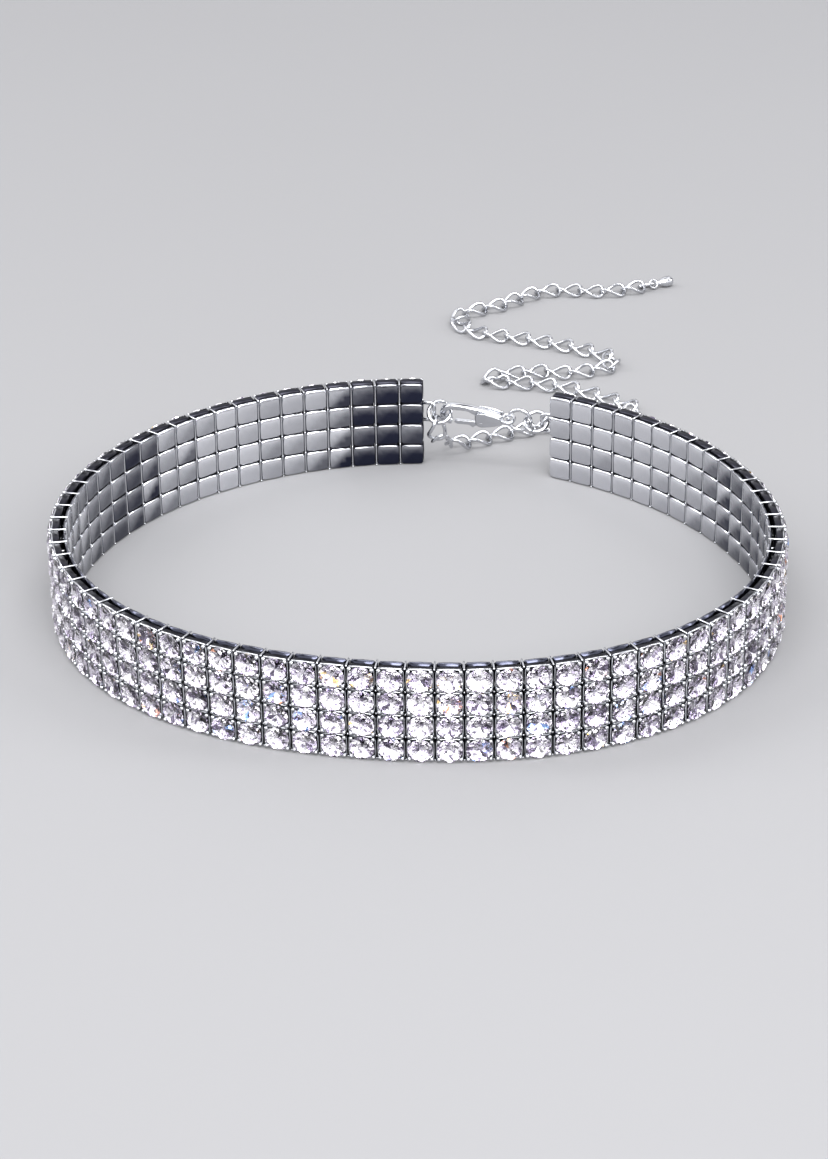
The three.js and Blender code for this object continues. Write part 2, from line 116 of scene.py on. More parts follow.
def mm(name, description, millimetres):
    """A length in the sidebar, with its default given in millimetres."""
    return bpy.props.FloatProperty(
        name=name, description=description, default=millimetres * MM, unit="LENGTH", precision=5
    )


def colour(name, description, value):
    """A colour in the sidebar."""
    return bpy.props.FloatVectorProperty(
        name=name, description=description, default=value, subtype="COLOR", min=0, max=1
    )


class BandSizes(bpy.types.PropertyGroup):
    """Sizes of the stone-set band, which is as long as the neck loop allows."""

    rows: bpy.props.IntProperty(name="Rows", description="Stones above each other", default=4, min=1)
    row_pitch: mm("Row pitch", "Height of one row", 3.9)
    column_pitch: mm("Column pitch", "Length of a column on the neck side", 4.2)
    tile_width: mm("Tile width", "Width of a tile along the band", 3.92)
    tile_height: mm("Tile height", "Height of a tile", 3.74)
    tile_thickness: mm("Tile thickness", "From the tile's face to its back", 0.5)
    hollow_depth: mm("Hollow depth", "From the tiles to the cups", 0.7)
    cup_width: mm("Cup width", "Width of a cup along the band", 4.14)
    cup_height: mm("Cup height", "Height of a cup", 3.84)
    cup_depth: mm("Cup depth", "From the cup's back to its rim", 1.5)
    crown_height: mm("Crown height", "Height of a stone above its cup", 0.6)
    stone_radius: mm("Stone radius", "Radius of a stone at its girdle", 1.93)
    table_radius: mm("Table radius", "Radius of a stone's table", 1)
    pavilion: mm("Pavilion", "Depth of a stone below its girdle", 0.76)
    cup_wall: mm("Cup wall", "Thickness of a cup's wall", 0.16)
    rung_wire: mm("Rung wire", "Radius of the rungs' wire", 0.17)
    rung_inset: mm("Rung inset", "How far a rung ends below the girdles", 0.55)


class ClosureSizes(bpy.types.PropertyGroup):
    """Sizes of the wire loops, the jump rings and the clasp."""

    row: bpy.props.FloatProperty(name="Row", description="Height of the closure in rows", default=2.5)
    gap: mm("Gap", "Clearance of wires that bear on each other", 0.3)
    loop_wire: mm("Loop wire", "Radius of the end loops' wire", 0.35)
    loop_reach: mm("Loop reach", "How far an end loop stands out of the band", 1.8)
    loop_height: mm("Loop height", "Height of an end loop", 3.2)
    loop_root: mm("Loop root", "How deep an end loop's legs go in", 0.7)
    ring_radius: mm("Ring radius", "Radius of a jump ring", 2)
    ring_wire: mm("Ring wire", "Radius of a jump ring's wire", 0.35)
    clasp_length: mm("Clasp length", "From the clasp's nose to its neck", 11.2)
    nose_radius: mm("Nose radius", "Outer radius of the clasp's nose", 2.6)
    hook_wall: mm("Hook wall", "Width of the clasp's hook", 1.1)
    hook_relief: mm("Hook relief", "Play of the hook ring in the hook", 0.15)
    mouth_length: mm("Mouth length", "From the clasp's nose to its heel", 6.5)
    eye_radius: mm("Eye radius", "Radius of the eye at the clasp's tail", 1.1)
    neck_half: mm("Neck", "Half the height of the clasp's neck", 0.7)
    heel_half: mm("Heel", "Half the height of the clasp's heel", 2)
    clasp_tilt: bpy.props.FloatProperty(
        name="Clasp tilt", description="Turn about its length", default=np.radians(115), subtype="ANGLE"
    )


class ChainSizes(bpy.types.PropertyGroup):
    """Sizes of the spare chain, its end ring and its drop."""

    pitch: mm("Pitch", "From one link's joint to the next", 4.33)
    wire: mm("Wire", "Radius of a link's wire", 0.33)
    half_width: mm("Half width", "Half a link's width, to the wire's middle", 1.5)
    bite: mm("Bite", "Overlap of two links' wires", 0.07)
    end_radius: mm("End ring radius", "Radius of the chain's end ring", 1.6)
    drop_length: mm("Drop length", "Length of the drop", 3.6)
    drop_radius: mm("Drop radius", "Radius of the drop", 1.06)
    drop_eye: mm("Drop eye", "Radius of the drop's eye", 0.8)
    drop_wire: mm("Drop wire", "Radius of the drop's eye wire", 0.28)


class Finishes(bpy.types.PropertyGroup):
    """Colours of the metals, the stones and the floor."""

    silver: colour("Silver", "Colour of the polished metal", (0.62, 0.63, 0.66))
    # The dark tile colour is the painted dark reflection in the silver lining.
    dark_tile: colour("Dark tile", "Colour of a lining tile at its darkest", (0.026, 0.029, 0.052))
    light_tile: colour("Light tile", "Colour of a lining tile at its lightest", (0.93, 0.94, 0.98))
    crystal: colour("Crystal", "Colour of the stones' glass", (0.98, 0.97, 1))
    floor: colour("Floor", "Colour of the studio floor", (0.25, 0.25, 0.257))


# Arrays of places and shapes.


def place(origin, along, out, up):
    """Places as 4 by 4 arrays, one for each origin. Their columns are the three axes and the origin."""
    columns = np.stack(np.broadcast_arrays(along, out, up, np.atleast_2d(origin)), -1)
    return np.concatenate([columns, np.broadcast_to([0, 0, 0, 1], (len(columns), 1, 4))], 1)


def moved(x=0, y=0, z=0):
    """A shift, as a 4 by 4 array."""
    result = np.eye(4)
    result[:3, 3] = (x, y, z)
    return result


def turned(angle, axis):
    """A turn about X (0), Y (1) or Z (2), or a stack of turns for a row of angles."""
    first, second = (axis + 1) % 3, (axis + 2) % 3
    result = np.broadcast_to(np.eye(4), (*np.shape(angle), 4, 4)).copy()
    result[..., first, first] = result[..., second, second] = np.cos(angle)
    result[..., second, first] = np.sin(angle)
    result[..., first, second] = -np.sin(angle)
    return result


def put(points, place_at):
    """Points moved by one 4 by 4 place."""
    return points @ place_at[:3, :3].T + place_at[:3, 3]


def set_at(shape, place_at):
    """A shape moved by one 4 by 4 place. A shape is its points and its faces' corners."""
    return put(shape[0], place_at), shape[1]


def faces_of(*corners):
    """Faces from an array for each of their three or four corners, with -1 after a triangle's."""
    corners = np.broadcast_arrays(*corners, *[-1] * (4 - len(corners)))
    return np.stack(corners, -1).reshape(-1, 4)


def joined(shapes):
    """One shape from several."""
    starts = np.cumsum([0] + [len(points) for points, _ in shapes[:-1]])
    faces = [np.where(faces < 0, -1, faces + start) for (_, faces), start in zip(shapes, starts)]
    return np.concatenate([points for points, _ in shapes]), np.concatenate(faces)


def repeated(shape, places):
    """The shape once at every place."""
    points, faces = shape
    spread = np.einsum("nij,mj->nmi", places[:, :3, :3], points) + places[:, None, :3, 3]
    steps = (np.arange(len(places)) * len(points))[:, None, None]
    many = np.where(faces < 0, -1, faces + steps)
    return spread.reshape(-1, 3), many.reshape(-1, 4)


def outward(shape):
    """The closed shape with its faces turned outwards, by the sign of the volume that they close in."""
    points, faces = shape
    last = np.where(faces[:, 3] < 0, faces[:, 2], faces[:, 3])
    a, b, c, d = (points[each] for each in (faces[:, 0], faces[:, 1], faces[:, 2], last))
    volume = (a * (np.cross(b, c) + np.cross(c, d))).sum()
    if volume >= 0:
        return points, faces
    return points, np.where(faces[:, 3:] < 0, faces[:, [2, 1, 0, 3]], faces[:, ::-1])


def shell(rings, closed=False):
    """A closed skin over rings of points.

    Faces with four corners join each ring to the next. The last joins the first where the shell is
    closed, and otherwise a fan of triangles closes each end round its middle.
    """
    count, around = rings.shape[:2]
    side, here = np.arange(around), np.arange(count if closed else count - 1)[:, None] * around
    beside, ahead = (side + 1) % around, (here + around) % (count * around)
    faces = faces_of(here + side, here + beside, ahead + beside, ahead + side)
    points = rings.reshape(-1, 3)
    if not closed:
        base, middle = (count - 1) * around, count * around
        first = faces_of(middle, beside, side)
        last = faces_of(middle + 1, base + side, base + beside)
        faces = np.concatenate([faces, first, last])
        points = np.concatenate([points, rings[:1].mean(1), rings[-1:].mean(1)])
    return outward((points, faces))


def swept(path, out, over, width, depth, around=12, boxy=1, closed=False):
    """A rod along a path, with half width along out and half depth along over at every point.

    The section is an oval: width times cosine and depth times sine of the angle round the path, each
    raised to the power boxy with its sign kept, so that less than 1 squares the section off.
    """
    angle = np.arange(around) * 2 * np.pi / around
    across, above = (np.sign(wave) * np.abs(wave) ** boxy for wave in (np.cos(angle), np.sin(angle)))
    width, depth = (np.broadcast_to(each, len(path))[:, None, None] for each in (width, depth))
    out, over = (np.broadcast_to(each, path.shape)[:, None, :] for each in (out, over))
    rings = path[:, None, :] + width * across[:, None] * out + depth * above[:, None] * over
    return shell(rings, closed)


def unit(vectors):
    """Vectors at length one."""
    return vectors / np.linalg.norm(vectors, axis=-1, keepdims=True)


def wire(path, radius, reference=UP, around=10, closed=False):
    """A round wire along a path. Its ends are rounded by half circles of its own radius.

    The section's axes are the part of the reference vector that is square to the path, and the
    product of that with the path's direction.
    """
    if closed:
        along = unit(np.roll(path, -1, 0) - np.roll(path, 1, 0))
        radii = np.full(len(path), radius)
    else:
        bend = np.radians([8, 35, 62])
        ends = unit(path[[0, -1]] - path[[1, -2]])
        start = path[0] + ends[0] * radius * np.cos(bend)[:, None]
        end = path[-1] + ends[1] * radius * np.cos(bend)[::-1, None]
        inner = np.full(len(path), radius)
        radii = np.concatenate([radius * np.sin(bend), inner, radius * np.sin(bend)[::-1]])
        path = np.concatenate([start, path, end])
        along = unit(np.gradient(path, axis=0))
    over = unit(reference - (along @ reference)[:, None] * along)
    return swept(path, np.cross(over, along), over, radii, radii, around, closed=closed)


def round_points(angle, radius, height=0):
    """Points about Z at these angles."""
    return np.stack([radius * np.cos(angle), radius * np.sin(angle), height + 0 * angle], -1)


def square_rings(half_width, half_height, depth):
    """Rings of rounded squares in X and Z, one for each half width, half height and depth.

    A ring is a superellipse: the eighth powers of its two sides' shares add up to one.
    """
    angle = (np.arange(4)[:, None] * np.pi / 2 + CORNER_ANGLES).ravel()
    reach = (np.cos(angle) ** 8 + np.sin(angle) ** 8) ** (-1 / 8)
    plan = round_points(angle, reach)[:, [0, 2, 1]]
    scale = np.stack([half_width, 0 * depth, half_height], -1)
    return plan * scale[:, None] + depth[:, None, None] * OUT


# The neck loop and the closure's places.


def loop_plan(angle):
    """The neck loop at these angles: a circle whose radius is waved two and three times round."""
    waves = sum(cosine * np.cos(n * angle) + sine * np.sin(n * angle) for n, cosine, sine in LOOP_WAVES)
    return round_points(angle, LOOP_RADIUS * (1 + waves))


def band_places(share):
    """Places on the band at shares of its plan: X along the band, Y out through the cups, Z up.

    A share is turned to an angle through the plan's running length, so columns are evenly spaced.
    """
    angles = CLOSURE_ANGLE + np.linspace(-0.1, 1.1, 12001) * 2 * np.pi
    points = loop_plan(angles)
    run = np.concatenate([[0], np.cumsum(np.linalg.norm(np.diff(points, axis=0), axis=1))])
    start, end = np.interp(CLOSURE_ANGLE + np.array([0, 2 * np.pi]), angles, run)
    angle = np.interp(start + np.asarray(share) * (end - start), run, angles)
    step = 1e-4
    along = -unit(loop_plan(angle + step) - loop_plan(angle - step))
    out = np.stack([-along[:, 1], along[:, 0], 0 * angle], -1)
    return place(loop_plan(angle), along, out, UP)


def band_edge(share, depth):
    """Points at a depth behind the tiles' faces, at shares of the plan."""
    places = band_places(share)
    return places[:, :3, 3] + depth * places[:, :3, 1]


def loop_length():
    """Length of the neck loop's plan."""
    points = loop_plan(np.linspace(0, 2 * np.pi, 12001))
    return np.linalg.norm(np.diff(points, axis=0), axis=1).sum()


def closure_spots():
    """Places along the closure from the band's left end, each wire bearing on the next one's inside."""
    sizes = bpy.context.scene.choker_closure
    bearing = sizes.gap + sizes.ring_wire
    hook_ring = sizes.loop_reach - sizes.loop_wire - bearing + sizes.ring_radius
    clasp = hook_ring + sizes.ring_radius - bearing - sizes.hook_relief - sizes.hook_wall
    eye = sizes.clasp_length + sizes.eye_radius - sizes.ring_wire / 2
    clasp_ring = clasp + eye + sizes.eye_radius - sizes.ring_wire - bearing + sizes.ring_radius
    band_ring = clasp_ring + 2 * sizes.ring_radius - sizes.ring_wire - bearing
    end = band_ring + sizes.ring_radius - bearing - sizes.loop_wire + sizes.loop_reach
    rings = {"hook_ring": hook_ring, "clasp_ring": clasp_ring, "band_ring": band_ring}
    return {"clasp": clasp, "eye": eye, "end": end, **rings}


def layout():
    """The places of the band's columns, the rungs and the closure.

    The gap in the loop is as wide as the closure is long, found among many shares of the plan. All is
    then moved so that the hook ring lies where the frame has it.
    """
    scene, spots = bpy.context.scene, closure_spots()
    band, sizes = scene.choker_band, scene.choker_closure
    depth = band.tile_thickness + band.hollow_depth + sizes.loop_wire + 0.1 * MM
    shares = np.linspace(0.001, 0.1, 400)
    chord = np.linalg.norm(band_edge(shares, depth) - band_edge(1 - shares, depth), axis=1)
    gap = np.interp(spots["end"], chord, shares)
    ends = band_edge([gap, 1 - gap], depth)
    along = unit(ends[1] - ends[0])
    height = sizes.row * band.row_pitch
    closure = place(ends[0] + height * UP, along, np.cross(UP, along), UP)[0]
    move = np.mean(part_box("hook_ring"), axis=0) - put(np.array([spots["hook_ring"], 0, 0]), closure)
    shift = moved(*move[:2])
    columns = round((1 - 2 * gap) * loop_length() / band.column_pitch)
    edges = gap + (1 - 2 * gap) * np.arange(columns + 1) / columns
    middles = (edges[:-1] + edges[1:]) / 2
    return {
        "columns": shift @ band_places(middles),
        "rungs": shift @ band_places(edges[1:-1]),
        "closure": shift @ closure,
        "spots": spots,
    }


def cell_places(columns, turn_spread, depth, seed):
    """A place for every cell of the band, row after row.

    Each is turned by small random angles about a point at this depth behind the tile's face.
    """
    band = bpy.context.scene.choker_band
    heights = (np.arange(band.rows) + 0.5) * band.row_pitch
    lifts = np.stack([moved(z=height) for height in heights])
    cells = (columns[None] @ lifts[:, None]).reshape(-1, 4, 4)
    chance = np.random.default_rng(seed)
    lean = chance.normal(0, turn_spread, (2, len(cells)))
    return cells @ moved(y=depth) @ turned(lean[0], 0) @ turned(lean[1], 2) @ moved(y=-depth)


# Materials.


def filled(node, sockets):
    """The node with its sockets set by name, where an underscore stands for a space."""
    for socket, value in sockets.items():
        node.inputs[socket.replace("_", " ")].default_value = value
    return node


def add_node(tree, kind, **sockets):
    """A shader node of this kind."""
    return filled(tree.nodes.new("ShaderNode" + kind), sockets)


def material(name, **sockets):
    """A material, its node tree and its principled shader."""
    made = bpy.data.materials.new(name)
    made.use_nodes = True
    return made, made.node_tree, filled(made.node_tree.nodes["Principled BSDF"], sockets)


def noise_on_object(tree, scale, detail=4, stretch=(1, 1, 1)):
    """Noise on the object's own coordinates. The scale is in turns a metre."""
    coordinates = add_node(tree, "TexCoord")
    mapping = add_node(tree, "Mapping", Scale=stretch)
    noise = add_node(tree, "TexNoise", Scale=scale, Detail=detail)
    tree.links.new(coordinates.outputs["Object"], mapping.inputs["Vector"])
    tree.links.new(mapping.outputs["Vector"], noise.inputs["Vector"])
    return noise.outputs["Fac"]


def spread_to(tree, value, low, high, start=0.3, end=0.7):
    """The value from start to end, spread to run from low to high."""
    spread = add_node(tree, "MapRange", From_Min=start, From_Max=end, To_Min=low, To_Max=high)
    tree.links.new(value, spread.inputs["Value"])
    return spread.outputs["Result"]


def bumped(tree, shader, height, depth):
    """Bump of this depth in metres on the shader's normal."""
    bump = add_node(tree, "Bump", Distance=depth)
    tree.links.new(height, bump.inputs["Height"])
    tree.links.new(bump.outputs["Normal"], shader.inputs["Normal"])


def between(tree, share, first, second):
    """A colour between two, by a share from 0 to 1. The second may be another node's output."""
    mix = add_node(tree, "Mix")
    mix.data_type = "RGBA"
    mix.inputs["A"].default_value = (*first, 1)
    if isinstance(second, bpy.types.NodeSocket):
        tree.links.new(second, mix.inputs["B"])
    else:
        mix.inputs["B"].default_value = (*second, 1)
    tree.links.new(share, mix.inputs["Factor"])
    return mix.outputs["Result"]


def mottled(tree, shader, patches, colour, share):
    """Gives the shader its colour, down to this share of it in patches."""
    tone = between(tree, spread_to(tree, patches, 0, 1), [share * part for part in colour], colour)
    tree.links.new(tone, shader.inputs["Base Color"])


def polished_silver():
    """Bright plated metal: a soft haze in patches and the finest polishing marks."""
    made, tree, shader = material("polished_silver", Metallic=1)
    haze = noise_on_object(tree, 350)
    tree.links.new(spread_to(tree, haze, 0.07, 0.2), shader.inputs["Roughness"])
    mottled(tree, shader, haze, bpy.context.scene.choker_finish.silver, 0.9)
    bumped(tree, shader, noise_on_object(tree, 6000, 2), 2e-6)
    return made


def painted_shade_silver():
    """Painted shade: a near-black metal for the cups' outsides and backs and the rungs' back uprights,
    which stand in shade between the cups.
    """
    # The painted shade's near-black colour.
    tone = (0.035, 0.035, 0.045, 1)
    return material("painted_shade_silver", Metallic=1, Roughness=0.3, Base_Color=tone)[0]


def tile_silver():
    """The tiles' metal: each tile has its own painted reflection tone, with painted shade on its rolled
    edge and faint polishing lines.
    """
    finish = bpy.context.scene.choker_finish
    made, tree, shader = material("tile_silver", Metallic=1)
    own = add_node(tree, "Attribute")
    own.attribute_name = "tile_painted_reflection"
    # Painted reflection and shade: the colour runs from the dark tile colour to the light one by the
    # attribute.
    tone = between(tree, own.outputs["Fac"], finish.dark_tile, finish.light_tile)
    tree.links.new(tone, shader.inputs["Base Color"])
    lines = noise_on_object(tree, 900, 3, (1, 1, 0.12))
    tree.links.new(spread_to(tree, lines, 0.12, 0.26), shader.inputs["Roughness"])
    bumped(tree, shader, lines, 4e-6)
    return made


def clear_crystal():
    """The stones' crowns: clear cut glass."""
    tone = (*bpy.context.scene.choker_finish.crystal, 1)
    glass = {"Transmission_Weight": 1, "IOR": 1.5, "Roughness": 0, "Base_Color": tone}
    return material("clear_crystal", **glass)[0]


def foil_painted_glints():
    """The stones' foiled undersides: each facet has its attribute's painted glint tone, with small dark
    specks of painted reflection.
    """
    made, tree, shader = material("foil_painted_glints", Metallic=1, Roughness=0.12)
    own = add_node(tree, "Attribute")
    own.attribute_name = "facet_painted_glint"
    # Painted reflection: small dark specks over the painted glints.
    specks = spread_to(tree, noise_on_object(tree, 1900, 1), 0, 1, 0.36, 0.44)
    tone = between(tree, specks, (0.25, 0.22, 0.3), own.outputs["Color"])
    tree.links.new(tone, shader.inputs["Base Color"])
    return made


def floor_finish():
    """A plain pale floor with the faintest unevenness."""
    made, tree, shader = material("pale_floor", Roughness=0.6, Specular_IOR_Level=0.15)
    mottled(tree, shader, noise_on_object(tree, 3), bpy.context.scene.choker_finish.floor, 0.97)
    return made


# Pieces.


def mesh_object(name, shape, materials, smooth=True, face_materials=None):
    """An object at the origin whose mesh holds the shape's points and faces."""
    points, faces = shape
    counts = (faces >= 0).sum(1)
    mesh = bpy.data.meshes.new(name)
    mesh.vertices.add(len(points))
    mesh.vertices.foreach_set("co", points.astype(np.float32).ravel())
    mesh.loops.add(int(counts.sum()))
    mesh.loops.foreach_set("vertex_index", faces[faces >= 0].astype(np.int32))
    mesh.polygons.add(len(faces))
    mesh.polygons.foreach_set("loop_start", (np.cumsum(counts) - counts).astype(np.int32))
    mesh.polygons.foreach_set("use_smooth", np.full(len(faces), smooth))
    for each in materials:
        mesh.materials.append(each)
    if face_materials is not None:
        mesh.polygons.foreach_set("material_index", face_materials.astype(np.int32))
    mesh.update(calc_edges=True)
    made = bpy.data.objects.new(name, mesh)
    bpy.context.collection.objects.link(made)
    return made


def add_piece(name, shape, makers=(polished_silver,), slot="silver", body=BODY, nodes=(), **options):
    """A piece of the necklace: it rides on a body and stands for the frame's nodes that it dresses.

    Its materials are made once, each by the function that it is named after.
    """
    materials = [bpy.data.materials.get(maker.__name__) or maker() for maker in makers]
    made = mesh_object(name, shape, materials, **options)
    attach(made, body)
    if nodes:
        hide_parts(*nodes)
    return made


def cup_shape():
    """A square cup: rings of rounded squares go up its outside, over the rim and down into it."""
    band = bpy.context.scene.choker_band
    wall, rim_drop = band.cup_wall, 0.12 * MM
    back = band.tile_thickness + band.hollow_depth
    front = back + band.cup_depth - rim_drop
    inset = wall * np.array([2, 0.5, 0, 0.5, 1.3])
    depth = np.array([back, back + wall, front - 1.8 * wall, front, front - 0.6 * MM])
    return shell(square_rings(band.cup_width / 2 - inset, band.cup_height / 2 - inset, depth))


def prong_shape():
    """A bead of metal over a stone's edge: a dome whose squared shares of radius and height add to one."""
    band = bpy.context.scene.choker_band
    root = band.tile_thickness + band.hollow_depth + band.cup_depth - 0.25 * MM
    foot, height = 0.38 * MM, 0.62 * MM
    share = np.array([0, 0.45, 0.8])[:, None, None]
    ring = round_points(np.arange(6) * np.pi / 3, 1)[:, [0, 2, 1]]
    radius = foot * np.sqrt(1 - share**2)
    return shell(radius * ring + (root + height * share) * OUT)


def brilliant():
    """A round brilliant with its axis along Y, and which of its faces are foiled.

    Rings of points go from the table to the culet. Half a step between them makes the stars, kites
    and triangles. A thin belt joins the crown to the pavilion.
    """
    band = bpy.context.scene.choker_band
    girdle = band.tile_thickness + band.hollow_depth + band.cup_depth + 0.02 * MM
    radius, crown, belt_half = band.stone_radius, band.crown_height - 0.08 * MM, 0.05 * MM
    half = np.pi / 8
    k, fine = np.arange(8), np.arange(16)

    def ring(angle, size, height):
        """Points about Y, this high above the girdle."""
        return round_points(angle, size, girdle + height)[:, [0, 2, 1]]

    rings = [
        ring(2 * half * k, band.table_radius, crown),
        ring(2 * half * k + half, 0.78 * radius, 0.62 * crown),
        ring(half * fine, radius, belt_half),
        ring(half * fine, radius, -belt_half),
        ring(2 * half * k + half, 0.55 * radius, -0.42 * MM),
        (girdle - band.pavilion) * OUT[None],
    ]
    top, mid, edge, low, deep, culet = np.cumsum([0] + [len(each) for each in rings[:-1]])
    after, fine_after, near = (k + 1) % 8, (fine + 1) % 16, fine // 2
    groups = [
        faces_of(top, top + k[1:7], top + k[1:7] + 1),
        faces_of(top + k, mid + k, top + after),
        faces_of(top + k, mid + (k - 1) % 8, edge + 2 * k, mid + k),
        faces_of(mid + near, edge + fine, edge + fine_after),
        faces_of(edge + fine, low + fine, low + fine_after, edge + fine_after),
        faces_of(deep + near, low + fine_after, low + fine),
        faces_of(deep + k, low + 2 * after, deep + after, culet),
    ]
    foiled = np.repeat([0, 0, 0, 0, 1, 1, 1], [len(each) for each in groups])
    return outward((np.concatenate(rings), np.concatenate(groups))), foiled


def tile_shape():
    """A silver tile and how near each point is to its edge.

    Rings of rounded squares spread from the middle of a low pyramid, roll back at its edges and close
    behind it.
    """
    band = bpy.context.scene.choker_band
    share = np.array([0.12, 0.5, 0.86, 0.95, 1, 0.97])
    lean = 0.05 * MM * share
    roll = np.array([0, 0, 0.008, 0.06, 0.2, 0.46]) * MM
    depth = np.minimum(lean + roll, band.tile_thickness)
    edge = np.concatenate([np.repeat([0, 0, 0, 0, 0.85, 1], SQUARE_POINTS), [0, 1]])
    return shell(square_rings(band.tile_width / 2 * share, band.tile_height / 2 * share, depth)), edge


def tile_tones(shape, edge, columns):
    """Painted reflection and shade for every point of every tile, from 0 for dark to 1 for light.

    A tile has its column's painted reflection tone, give or take a little. Painted diagonal shading makes
    it lighter to the upper left and darker to the lower right, most where its tone is near the middle one:
    by e to the power of minus the square of how far off it is. A painted highlight makes the upper part
    lighter again, and painted shade darkens the rolled edge.
    """
    band = bpy.context.scene.choker_band
    knots = np.array(PAINTED_LINING_REFLECTIONS).T
    # Each column's painted reflection tone from the listed knots, then a little random spread.
    own = np.interp(np.tile(np.arange(columns), band.rows), knots[0], knots[1] / 100)
    chance = np.random.default_rng(8)
    own = np.clip(own + chance.normal(0, 0.06, len(own)), 0, 1)[:, None]
    x, z = shape[0][:, 0] / band.tile_width * 2, shape[0][:, 2] / band.tile_height * 2
    near_middle = np.exp(-(((own - 0.35) / 0.16) ** 2))
    size = chance.uniform(0.2, 1, own.shape) * (0.05 + 0.35 * near_middle)
    # Painted diagonal shading: lighter to the upper left, darker to the lower right.
    painted_diagonal_shade = size * np.clip(2 * (z - x), -1, 1)
    # Painted highlight on the upper part of each tile.
    lit = 0.36 * np.clip((z - 0.1) / 0.8, 0, 1) ** 2
    # Painted shade darkens the rolled edge.
    return (np.clip(own + painted_diagonal_shade, 0, 1) + lit) * (1 - 0.96 * edge)


class CHOKER_OT_cups(bpy.types.Operator):
    """Sets the square cups of the band, with a prong at each corner"""

    bl_idname = "choker.cups"
    bl_label = "Cups"

    def execute(self, context):
        band = context.scene.choker_band
        cells = cell_places(layout()["columns"], np.radians(0.4), 2 * MM, seed=11)
        inset = 0.42 * MM
        x, z = band.cup_width / 2 - inset, band.cup_height / 2 - inset
        corners = [moved(x * side, 0, z * end) for side in (-1, 1) for end in (-1, 1)]
        prongs = joined([repeated(prong_shape(), cells @ corner) for corner in corners])
        # Painted shade: the cups' outer walls and backs take the near-black metal; rims, inner walls and
        # floors stay polished.
        cup_painted_shade = np.tile(np.repeat([1, 1, 0, 0, 1, 0], SQUARE_POINTS), len(cells))
        add_piece(
            "stone_cups",
            joined([repeated(cup_shape(), cells), prongs]),
            (polished_silver, painted_shade_silver),
            face_materials=np.concatenate([cup_painted_shade, np.zeros(len(prongs[1]))]),
        )
        return {"FINISHED"}


class CHOKER_OT_stones(bpy.types.Operator):
    """Sets a round brilliant in every cup, each turned its own way, and gives each facet a painted glint
    tone
    """

    bl_idname = "choker.stones"
    bl_label = "Stones"

    def execute(self, context):
        cells = cell_places(layout()["columns"], np.radians(1.4), 2.7 * MM, seed=5)
        chance = np.random.default_rng(23)
        cells = cells @ turned(chance.uniform(0, 2 * np.pi, len(cells)), 1)
        shape, foiled = brilliant()
        stones = add_piece(
            "cut_stones",
            repeated(shape, cells),
            (clear_crystal, foil_painted_glints),
            slot="crystal",
            nodes=("stone_band_left", "stone_band_right"),
            smooth=False,
            face_materials=np.tile(foiled, len(cells)),
        )
        # Painted glints: each facet takes a tone from the table at random, by how often each comes.
        table = np.array(FACET_PAINTED_GLINTS)
        chance = np.random.default_rng(41)
        picked = chance.choice(len(table), (len(cells), len(shape[1])), p=table[:, 0]).ravel()
        counts = np.tile((shape[1] >= 0).sum(1), len(cells))
        colours = np.ones((counts.sum(), 4))
        colours[:, :3] = np.repeat(table[picked, 1:], counts, axis=0)
        layer = stones.data.color_attributes.new("facet_painted_glint", "FLOAT_COLOR", "CORNER")
        layer.data.foreach_set("color", colours.ravel())
        return {"FINISHED"}


class CHOKER_OT_lining(bpy.types.Operator):
    """Lays the silver tiles on the neck side of the band"""

    bl_idname = "choker.lining"
    bl_label = "Lining"

    def execute(self, context):
        columns = layout()["columns"]
        cells = cell_places(columns, np.radians(0.8), 0, seed=3)
        shape, edge = tile_shape()
        tiles = add_piece("lining_tiles", repeated(shape, cells), (tile_silver,))
        # Painted reflection and shade for every tile point, stored as an attribute.
        tone = tile_tones(shape, edge, len(columns))
        layer = tiles.data.attributes.new("tile_painted_reflection", "FLOAT", "POINT")
        layer.data.foreach_set("value", tone.astype(np.float32).ravel())
        return {"FINISHED"}


class CHOKER_OT_rungs(bpy.types.Operator):
    """Threads the wire rungs between the columns, as little ladders on edge"""

    bl_idname = "choker.rungs"
    bl_label = "Rungs"

    def execute(self, context):
        band = context.scene.choker_band
        radius = band.rung_wire
        tile_side = 0.3 * band.tile_thickness + radius
        cup_side = band.tile_thickness + band.hollow_depth + band.cup_depth - band.rung_inset
        top = band.rows * band.row_pitch - radius
        uprights = [
            wire(np.array([[0, depth, 2 * radius], [0, depth, top - radius]]), radius, OUT, 6)
            for depth in (cup_side - 0.9 * MM, tile_side)
        ]
        steps = [
            wire(np.array([[0, tile_side - radius, z], [0, cup_side + radius, z]]), radius, UP, 6)
            for z in np.linspace(radius, top, band.rows + 1)
        ]
        ladder = joined(uprights + steps)
        places = layout()["rungs"]
        # Painted shade: the back upright, deep in the slot between the cups, takes the near-black metal;
        # the tile-side upright and the steps stay polished.
        shaded = np.arange(len(ladder[1])) < len(uprights[0][1])
        add_piece(
            "wire_rungs",
            repeated(ladder, places),
            (polished_silver, painted_shade_silver),
            face_materials=np.tile(shaded, len(places)),
        )
        return {"FINISHED"}


def ring_shape(radius, wire_radius):
    """A jump ring in X and Y, bent from wire whose ends nearly meet."""
    half_cut = 0.025 * MM
    edge = (half_cut + wire_radius) / radius
    angle = np.linspace(edge, 2 * np.pi - edge, 36)
    return wire(round_points(angle, radius), wire_radius, UP, 12)


def eye_shape(radius, wire_radius):
    """A ring in X and Y that is closed all round."""
    angle = np.arange(32) * np.pi / 16
    return wire(round_points(angle, radius), wire_radius, UP, 12, closed=True)


